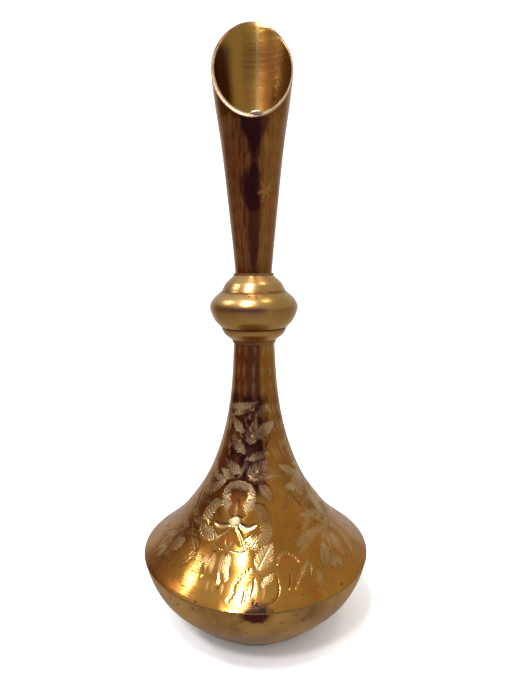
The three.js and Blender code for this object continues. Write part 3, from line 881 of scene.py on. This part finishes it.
NECK_COLUMNS = 240
NECK_ROWS = 200
BORE_ROWS = 110
STRIP_COLUMNS = 8
STRIP_ROWS = 120
LIP_STEPS = 5
LIP_ROUND = 0.28 * MM            # how far the file rounded the lip, less where it is thin
TIP_LENGTH = 9 * MM              # over this length the thin tip at the back is
TIP_FLARE = 0.6 * MM             # bent outwards by this much
TIP_STRETCH = 0.5 * MM           # and pulled longer by this
GAUGE_LOW, GAUGE_HIGH = 110 * MM, 160 * MM    # where the bore is measured; it leans between them
ABOVE_TIP = 210 * MM             # the walls are worked out up to here and cut at the mouth
neck_low, neck_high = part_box("neck_tube")
HAMMER_HEIGHTS = (175.5, 178.5, 181.0, 184.0, 187.5, 191.0, 194.5)
HAMMER_X, HAMMER_Y = neck_high[0] * 0.58, neck_high[1] * 0.7


def mouth_plane():
    """Height at the axis and slope towards the back of the sawn mouth, from the tube itself."""
    points = np.array([v.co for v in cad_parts["neck_tube"].data.vertices])
    top = points[np.argmax(points[:, 2])]
    front = points[(np.abs(points[:, 0]) < 1 * MM) & (points[:, 1] < 0)]
    lip = front[np.argmax(front[:, 2])]
    slope = (top[2] - lip[2]) / (top[1] - lip[1])
    return lip[2] - slope * lip[1], slope


def neck_bore(height):
    """Centre x, centre y and radius of the bore at a height that has wall all round."""
    walls = [surface_radius("neck_tube", height, inside=True, towards=way)
             for way in ((1, 0), (-1, 0), (0, 1), (0, -1))]
    right, left, back, front = walls
    return np.array([(right - left) / 2, (back - front) / 2, (back + front) / 2])


NECK_SHARES = (0.003, 0.1, 0.22, 0.35, 0.48, 0.6, 0.72, 0.83, 0.92, 0.985)
neck_heights = [neck_low[2] + share * (neck_high[2] - neck_low[2]) for share in NECK_SHARES]
neck_side = smooth([(surface_radius("neck_tube", z, towards=(0, 1)), z) for z in neck_heights], 8)
neck_side[0, 1] = neck_low[2]
bore_low, bore_high = neck_bore(GAUGE_LOW), neck_bore(GAUGE_HIGH)
bore_lean = (bore_high - bore_low)[:2] / (GAUGE_HIGH - GAUGE_LOW)
bore_wall = np.interp(GAUGE_HIGH, neck_side[:, 1], neck_side[:, 0]) - bore_high[2]
plane_height, plane_slope = mouth_plane()
SEAM_ANGLE = math.radians(172)
SEAM_HALF = 0.5 * MM


def tube_slice(angle_of, columns, rows, bore_rows, edge):
    """Vertices of part of the neck tube, column by column: up the outside, over the rounded lip
    and down the bore. angle_of gives the azimuth from a column's share and the radius there; edge
    is the share at which a column stands close to each end, to keep the slot's corners crisp."""
    heights = np.linspace(neck_low[2], ABOVE_TIP, 400)
    outside = np.interp(heights, neck_side[:, 1], neck_side[:, 0])
    offset = bore_low[:2] + (heights[:, None] - GAUGE_LOW) * bore_lean

    def on_wall(wall, height):
        return np.stack([np.interp(height, heights, wall[:, k]) for k in range(3)], -1)

    all_points, all_angles = [], []
    for share in (0, *np.linspace(edge, 1 - edge, columns - 2), 1):
        walls = []
        for radius, shift in ((outside, 0 * offset), (outside - bore_wall, offset)):
            angle = angle_of(share, radius)
            wall = np.stack([radius * np.sin(angle), -radius * np.cos(angle), heights], 1)
            wall[:, :2] += shift
            over_mouth = wall[:, 2] - plane_height - plane_slope * wall[:, 1]
            walls.append((wall, np.interp(0, over_mouth, heights)))
        (outer, outer_top), (inner, inner_top) = walls
        gap = math.hypot(*(on_wall(outer, outer_top) - on_wall(inner, outer_top))[:2])
        filed = min(LIP_ROUND, 0.35 * gap)
        climb = np.linspace(0, 1, rows) * (outer_top - filed - neck_low[2]) + neck_low[2]
        sink = inner_top - filed - np.linspace(0, 1, bore_rows) * (inner_top - filed - neck_low[2])
        up, down = on_wall(outer, climb), on_wall(inner, sink)
        out_edge, in_edge = on_wall(outer, outer_top), on_wall(inner, inner_top)
        first, last = out_edge + (in_edge - out_edge) * 0.3, in_edge + (out_edge - in_edge) * 0.3
        turn = np.linspace(0, 1, LIP_STEPS + 2)[1:-1, None]
        lip = ((1 - turn) ** 3 * up[-1] + 3 * (1 - turn) ** 2 * turn * first
               + 3 * (1 - turn) * turn ** 2 * last + turn ** 3 * down[0])
        column = np.vstack([up, lip, down])
        near_tip = np.clip((column[:, 2] - neck_high[2] + TIP_LENGTH) / TIP_LENGTH, 0, 1) ** 2
        column[:, 1] += TIP_FLARE * near_tip
        column[:, 2] += TIP_STRETCH * near_tip
        all_points.append(column)
        all_angles.append(angle_of(share, np.interp(climb, heights, outside)))
    return np.array(all_points), np.array(all_angles)


def tube_faces(columns, ring, rows):
    """Faces of an open slice: its skin, its foot and the two walls of the slot, which join each
    height outside to the same height inside."""
    faces = []
    for i in range(columns - 1):
        for j in range(ring):
            k = (j + 1) % ring
            faces.append((i * ring + j, (i + 1) * ring + j, (i + 1) * ring + k, i * ring + k))
    bore_rows = ring - rows - LIP_STEPS
    for start in (0, (columns - 1) * ring):
        out, bore = 0, 0
        while out < rows - 1 or bore < bore_rows - 1:
            low, facing = start + out, start + ring - 1 - bore
            if (out + 1) * (bore_rows - 1) <= (bore + 1) * (rows - 1):
                out += 1
                faces.append((low, start + out, facing))
            else:
                bore += 1
                faces.append((low, start + ring - 1 - bore, facing))
        faces.append(tuple(range(start + rows - 1, start + rows + LIP_STEPS + 1)))
    return faces


UNDER_LIP = ((-4.4, 64.4), (-3.6, 61.2), (-2.2, 58.4), (-0.8, 54.6), (0.2, 51.8), (1.2, 54.6),
             (2.6, 58.2), (3.8, 60.6), (4.9, 64.0), (0.2, 66.0))
LONG_DROP = ((-0.2, 51.4), (-2.8, 49.0), (-4.2, 46.4), (-4.2, 43.4), (-3.2, 40.2), (-1.6, 37.6),
             (0.6, 37.0), (2.2, 38.8), (1.9, 41.6), (1.2, 44.0), (2.0, 47.8), (1.2, 50.4))
STAR_HEART = (3.8, 43.6)
STAR_TIPS = ((7.4, 46.4), (7.2, 43.6), (5.8, 40.6), (2.6, 39.4), (0.8, 42.0), (2.2, 46.0))


def engrave_neck(sheet):
    """Feathered blades in rows round the neck, up to the lip at the back; in front the polished
    ground is left bare as a bud that hangs from the lip over a long drop, with a star beside it."""
    for number, angle in enumerate((0, math.pi / 2, math.pi, -math.pi / 2)):
        front, back = number == 0, number == 2
        patch = sheet.patch(angle, 0, 9, 100, 0, seed=50 + number)
        for top, length, bare in ((64.5, 6.0, 4.6), (59.5, 6.5, 2.4), (53.5, 6.0, 1.2), (48.5, 7.0, 2.8),
                                  (43.0, 6.5, 3.8), (37.5, 6.0, 2.6), (31.5, 6.5, 1.6), (26.0, 7.0, 1.6)):
            spots = [x for x in np.arange(-8.4, 9.0, 1.2) if abs(x - 0.4) > bare * front]
            blades(patch, [(x, top - length / 2) for x in spots], length * 1.3, width=1.7, lean=0.0,
                   pale=0.5)
        for top in (70, 76, 82, 88) if back else ():
            blades(patch, [(x, top) for x in np.arange(-7, 8, 1.6)], 6.5, width=1.7, pale=0.5)
        for x, y, size in ((-5.0, 52.0, 2.6), (-5.6, 40.0, 3.6), (-3.4, 27.0, 2.6), (5.4, 33.0, 2.4)):
            patch.blotch("copper", x, y, size, amount=0.35)
        for tip in STAR_TIPS if front or back else ():
            patch.blade(STAR_HEART, tip, 1.7, 1.0)


def dark_reflection_patches(sheet):
    """Two dark ragged patches on the bare polished ground in front, one under the lip: a painted
    reflection of the dark in front.
    """
    dark_reflection = np.zeros(sheet.angle.shape)
    patch = sheet.patch(0, 0, 9, 100, 0, seed=61)
    ragged = 0.35 * np.sin(7 * patch.x + 2 * np.sin(1.3 * patch.y)) * np.sin(3.1 * patch.x + 1.0)
    for outline in (UNDER_LIP, LONG_DROP):
        line = smooth(np.array(outline + outline[:1]), 4)
        gap = patch.nearest(line)[0]
        depth = np.where(patch.inside(line[:-1]), gap, -gap) + ragged
        dark_reflection[patch.pick] = np.maximum(dark_reflection[patch.pick], 0.7 * rise(depth, -0.5, 0.7))
    return dark_reflection


def hammer(bore):
    """A column of small bumps down the right of the bore, from the hammer that closed the tube."""
    for height in HAMMER_HEIGHTS:
        away = np.linalg.norm(bore - (HAMMER_X, HAMMER_Y, height * MM), axis=2) / MM
        bore[..., :2] *= 1 - 0.01 * np.clip(1 - away / 1.3, 0, 1)[..., None]


def age_and_shade_neck(points, sheet, rng):
    """How the tube has aged and where it is painted dark, as one number per vertex and kind: the
    raw cut edge, worn bright towards the tip; painted dark reflection on the patches in front
    and in a strip at the left of the bore; copper drawn out beside the seam by the torch."""
    place = np.arange(points.shape[1])
    height = points[..., 2] / MM
    azimuth = np.degrees(np.arctan2(points[..., 0], -points[..., 1])) % 360
    inner = (place > NECK_ROWS + LIP_STEPS).astype(float)
    edge = ((place >= NECK_ROWS - 1) & (place <= NECK_ROWS + LIP_STEPS)).astype(float)
    wavy = 0.12 * np.sin(0.37 * np.arange(NECK_COLUMNS)) + rng.uniform(-0.12, 0.12, NECK_COLUMNS)
    raw = edge * np.clip(0.88 + wavy[:, None] - rise(height, 186, 199) * 0.6, 0, 1)
    # Painted reflection: a dark strip down the left of the bore, where the wall mirrors the dark in front.
    left = rise(azimuth, 205, 222) * (1 - rise(azimuth, 300, 330))
    dark_reflection = 0.8 * left * inner * rise(198 - height, 0, 6)
    dark_reflection[:, :NECK_ROWS] = dark_reflection_patches(sheet).reshape(NECK_COLUMNS, NECK_ROWS)
    from_seam = np.abs((azimuth - 152 + 180) % 360 - 180)
    copper = 0.5 * rise(30 - from_seam, 0, 22) * inner * rise(height, 204, 190)
    copper[:, :NECK_ROWS] = sheet.copper.reshape(NECK_COLUMNS, NECK_ROWS)
    return {"raw": raw, "dark_reflection": dark_reflection, "copper": copper, "bore": np.tile(inner, (NECK_COLUMNS, 1))}


def neck_tube():
    """The rolled tube with its seam left open: engraved outside, filed and hammered."""
    def spread(share, radius):
        slot = np.arcsin(SEAM_HALF / radius)
        return SEAM_ANGLE - 2 * math.pi + slot + share * (2 * math.pi - 2 * slot)

    points, angles = tube_slice(spread, NECK_COLUMNS, NECK_ROWS, BORE_ROWS, 0.0003)
    outer = points[:, :NECK_ROWS]
    lip = points[:, NECK_ROWS:NECK_ROWS + LIP_STEPS]
    bore = points[:, NECK_ROWS + LIP_STEPS:]
    radius = np.hypot(outer[..., 0], outer[..., 1])
    sheet = Sheet(angles.ravel(), (outer[..., 2].ravel() - neck_low[2]) / MM, radius.ravel() / MM)
    engrave_neck(sheet)
    below_lip = rise((outer[:, -1:, 2] - outer[..., 2]) / MM, 0.2, 1.5).ravel()
    sheet.groove *= below_lip
    sheet.frost *= below_lip
    outer[..., :2] *= (1 - sheet.groove.reshape(radius.shape) * CUT_DEPTH * 0.7 / radius)[..., None]
    rng = np.random.default_rng(21)
    lip[..., 2] += rng.uniform(-1, 1, (NECK_COLUMNS, 1)) * 0.05 * MM * rise(lip[..., 2] / MM, 192, 182)
    hammer(bore)
    faces = tube_faces(NECK_COLUMNS, points.shape[1], NECK_ROWS)
    piece = new_piece("neck_tube_rolled", points.reshape(-1, 3), faces, sharp=70)
    marks = age_and_shade_neck(points, sheet, rng)
    for name in ("groove", "frost", "lines"):
        marks[name] = np.zeros(points.shape[:2])
        marks[name][:, :NECK_ROWS] = getattr(sheet, name).reshape(NECK_COLUMNS, NECK_ROWS)
    for name, values in marks.items():
        store(piece, name, values.ravel())
    return piece


neck_brass = engraved_sheet_brass("engraved rolled brass", "#865726", "#9c6c32", "#8f6a30")
mount_piece(neck_tube(), neck_brass, "engraved_brass", "neck_tube")


# ---------------------------------------------------------------------------------------------
# Neck braze. The seam of the rolled tube, filled with brazing alloy and filed flush; it shows
# as one pale upright line inside the mouth.

def filed_braze():
    """Brazing alloy, filed smooth: paler and greyer than the sheet, cloudy and finely pitted."""
    material = new_material("filed braze")
    place = add_node(material, "TexCoord").outputs["Object"]
    pores = add_node(material, "TexNoise", {"Vector": place, "Scale": 1.5 / MM, "Detail": 5.0})
    colour = add_node(material, "MixRGB", {"Fac": pores, "Color1": linear("#a08043"),
                                           "Color2": linear("#b8985c")})
    bump = add_node(material, "Bump", {"Height": pores, "Strength": 1.0, "Distance": 0.015 * MM})
    shader = add_node(material, "BsdfPrincipled", {"Base Color": colour, "Metallic": 1.0,
                                                   "Roughness": 0.27, "Normal": bump})
    add_node(material, "OutputMaterial", {"Surface": shader})
    return material


def braze_strip():
    """The alloy in the seam, from the foot of the tube to the lip and through the whole wall."""
    def spread(share, radius):
        return SEAM_ANGLE + (2 * share - 1) * np.arcsin(SEAM_HALF / radius)

    points = tube_slice(spread, STRIP_COLUMNS, STRIP_ROWS, BORE_ROWS, 0.02)[0]
    faces = tube_faces(STRIP_COLUMNS, points.shape[1], STRIP_ROWS)
    return new_piece("neck_seam_braze_strip", points.reshape(-1, 3), faces, sharp=60)


mount_piece(braze_strip(), filed_braze(), "braze", "neck_seam_braze")


# ---------------------------------------------------------------------------------------------
# Lip bead. A pale drop of soft solder on the lowest point of the lip. A split in the sheet was
# mended with it, and it was never filed down.

def lump(name, node, grow, seed):
    """A smooth uneven drop that fills a node's box, made from a round mesh."""
    low, high = (Vector(v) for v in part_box(node))
    middle, half = (low + high) / 2, (high - low) / 2 * grow
    rng = np.random.default_rng(seed)
    work = bmesh.new()
    bmesh.ops.create_icosphere(work, subdivisions=4, radius=1.0)
    phase = rng.uniform(0, 6, (3, 3))
    for vertex in work.verts:
        way = np.array(vertex.co)
        dent = 0.09 * sum(math.sin(3.2 * way @ np.cos(p) + p[0]) for p in phase)
        vertex.co = Vector([middle[k] + half[k] * way[k] * (1 - abs(dent)) for k in range(3)])
    mesh = bpy.data.meshes.new(name)
    work.to_mesh(mesh)
    work.free()
    mesh.shade_smooth()
    piece = bpy.data.objects.new(name, mesh)
    bpy.context.collection.objects.link(piece)
    return piece


lip_solder = soft_solder("bright soft solder", "#c8b898", "#eee2c8")
lip_drop = lump("lip_solder_drop", "lip_solder_bead", grow=1.3, seed=31)
mount_piece(lip_drop, lip_solder, "solder", "lip_solder_bead")


# ---------------------------------------------------------------------------------------------
# Studio. A plain pale table, a soft dome of light that is darker in front, a brown glow in place
# of the table, four soft lamps and the camera. The dome and the glow show only in the brass.

def staged(name, vertices, faces, material):
    """A part of the studio, which isn't part of the vase."""
    mesh = bpy.data.meshes.new(name)
    mesh.from_pydata([tuple(v) for v in vertices], [], faces)
    mesh.materials.append(material)
    thing = bpy.data.objects.new(name, mesh)
    bpy.context.collection.objects.link(thing)
    return thing


TABLE_REACH = 4.0
# Matt off-white paint, which puts no colour on the brass
pale_table = bpy.data.materials.new("pale table")
pale_table.use_nodes = True
pale_table.node_tree.nodes["Principled BSDF"].inputs["Base Color"].default_value = linear("#efefed")
pale_table.node_tree.nodes["Principled BSDF"].inputs["Roughness"].default_value = 0.8
staged("table", [(x * TABLE_REACH, y * TABLE_REACH, 0) for x, y in ((-1, -1), (1, -1), (1, 1), (-1, 1))],
       [(0, 1, 2, 3)], pale_table)

# Colour of the dome by azimuth from the front (positive to the right) and elevation, in degrees
DOME_RADIUS = 1.6
DARK_FRONT = np.array([0.14, 0.085, 0.25])
DIM_LEFT = np.array([0.17, 0.09, 0.11])
DIM_RIGHT = np.array([0.36, 0.31, 0.3])
WARM_SIDE = np.array([0.56, 0.5, 0.46])
CEILING = np.array([0.74, 0.76, 0.88])
PALE_BACK = np.array([0.66, 0.63, 0.62])


def dome_colour(azimuth, elevation):
    def blend(colour, other, share):
        return colour + (other - colour) * share[..., None]
    low = blend(DIM_LEFT, DIM_RIGHT, rise(azimuth, -20, 30))
    climb = elevation - 14 * (1 - rise(azimuth, -30, 20))
    colour = blend(low, WARM_SIDE, rise(climb, 3, 24))
    colour = blend(colour, CEILING, rise(elevation + 10 * rise(-azimuth, 30, 80), 42, 66)
                   * (1 - 0.85 * rise(azimuth, 0, 45)))
    window = rise(azimuth, -62, -44) * (1 - rise(azimuth, 27, 31)) * (1 - rise(elevation, 24, 36))
    colour = blend(colour, DARK_FRONT, window)
    return blend(colour, PALE_BACK, rise(np.abs(azimuth), 112, 150))


def ring_azimuths(count):
    """Azimuth of each point of a ring, in degrees from the front, positive to the right."""
    return (np.arange(count) * 360 / count + 180) % 360 - 180


def glowing(name, rings, count, colours, material):
    """A surface of rings, each a radius and a height, that shines with its own colours. It
    lights nothing but what the metal mirrors."""
    points = np.vstack([ring_points(radius, height, count) for radius, height in rings])
    faces = []
    for k in range(len(rings) - 1):
        faces += knit(k * count, count, (k + 1) * count, count)
    thing = staged(name, points, faces, material)
    layer = thing.data.attributes.new("glow", "FLOAT_COLOR", "POINT")
    layer.data.foreach_set("color", np.hstack([colours, np.ones((len(colours), 1))]).ravel())
    thing.visible_camera = False
    thing.visible_shadow = False
    thing.visible_diffuse = False


soft_light = new_material("light dome")
shown = add_node(soft_light, "Attribute", attribute_name="glow").outputs["Color"]
emission = add_node(soft_light, "Emission", {"Color": shown, "Strength": 1.0})
add_node(soft_light, "OutputMaterial", {"Surface": emission})

DOME_COLUMNS = 96
dome_elevations = np.linspace(-6, 90, 40)
dome_rings = [(DOME_RADIUS * math.cos(math.radians(e)), DOME_RADIUS * math.sin(math.radians(e)))
              for e in dome_elevations]
dome_grid = np.meshgrid(ring_azimuths(DOME_COLUMNS), dome_elevations)
glowing("light_dome", dome_rings, DOME_COLUMNS, dome_colour(*dome_grid).reshape(-1, 3), soft_light)

# What the brass sees of the table: a dimmer, browner surface than the lit top itself, by rings
# of radius, brightness and how far the dome's own colour shows instead
CARD_COLUMNS = 64
CARD_HEIGHT = 0.6 * MM
CARD_TINT = np.array([1.05, 0.9, 0.78])
CARD_RINGS = np.array([(0.022, 0.2, 0), (0.03, 0.4, 0), (0.045, 0.5, 0), (0.07, 0.52, 0),
                       (0.12, 0.5, 0.2), (0.25, 0.45, 0.6), (0.6, 0.4, 1), (1.55, 0.36, 1)])
card_near = np.repeat(CARD_RINGS[:, 1], CARD_COLUMNS)[:, None] * CARD_TINT
card_azimuth = np.tile(ring_azimuths(CARD_COLUMNS), len(CARD_RINGS))
card_far = dome_colour(card_azimuth, 0 * card_azimuth)
card_colours = card_near + (card_far - card_near) * np.repeat(CARD_RINGS[:, 2], CARD_COLUMNS)[:, None]
glowing("table_glow", [(radius, CARD_HEIGHT) for radius in CARD_RINGS[:, 0]], CARD_COLUMNS,
        card_colours, soft_light)

LAMP_AIM = Vector((0, 0, 100 * MM))
LAMP_DISTANCE = 1.2


def lamp(name, azimuth, elevation, size, watts, colour):
    a, e = math.radians(azimuth), math.radians(elevation)
    way = Vector((math.cos(e) * math.sin(a), -math.cos(e) * math.cos(a), math.sin(e)))
    light = bpy.data.lights.new(name, "AREA")
    light.shape = "DISK"
    light.size = size
    light.energy = watts
    light.color = linear(colour)[:3]
    lamp_object = bpy.data.objects.new(name, light)
    lamp_object.location = LAMP_AIM + LAMP_DISTANCE * way
    lamp_object.rotation_euler = way.to_track_quat("Z", "Y").to_euler()
    bpy.context.collection.objects.link(lamp_object)


lamp("lamp_left", -92, 45, 0.16, 3.4, "#fbf2fa")
lamp("lamp_front", -26, 51, 0.17, 7, "#fbf4ff")
lamp("lamp_front_high", -27, 66, 0.18, 8, "#fbf4ff")
lamp("lamp_right", 70, 68, 0.16, 1.6, "#ffe9cf")

world = bpy.data.worlds.new("pale room")
bpy.context.scene.world = world
world.use_nodes = True
world.node_tree.nodes["Background"].inputs["Color"].default_value = linear("#ffffff")
world.node_tree.nodes["Background"].inputs["Strength"].default_value = 1.3

CAMERA_DISTANCE = 171.5 * MM
CAMERA_HEIGHT = 126 * MM
CAMERA_TURN = math.radians(1.0)
CAMERA_PITCH = math.radians(9.3)
CAMERA_ROLL = math.radians(0.38)
CAMERA_AIM = math.radians(0.21)
camera_data = bpy.data.cameras.new("camera")
camera_data.lens = 27.05
camera_data.clip_start = 0.01
camera = bpy.data.objects.new("camera", camera_data)
bpy.context.collection.objects.link(camera)
camera_place = Vector((-CAMERA_DISTANCE * math.sin(CAMERA_TURN),
                       -CAMERA_DISTANCE * math.cos(CAMERA_TURN), CAMERA_HEIGHT))
turn = Matrix.Rotation(-CAMERA_TURN - CAMERA_AIM, 4, "Z")
tilt = Matrix.Rotation(math.pi / 2 - CAMERA_PITCH, 4, "X")
roll = Matrix.Rotation(-CAMERA_ROLL, 4, "Z")
camera.matrix_world = Matrix.Translation(camera_place) @ turn @ tilt @ roll
bpy.context.scene.camera = camera
bpy.context.scene.view_settings.view_transform = "Standard"
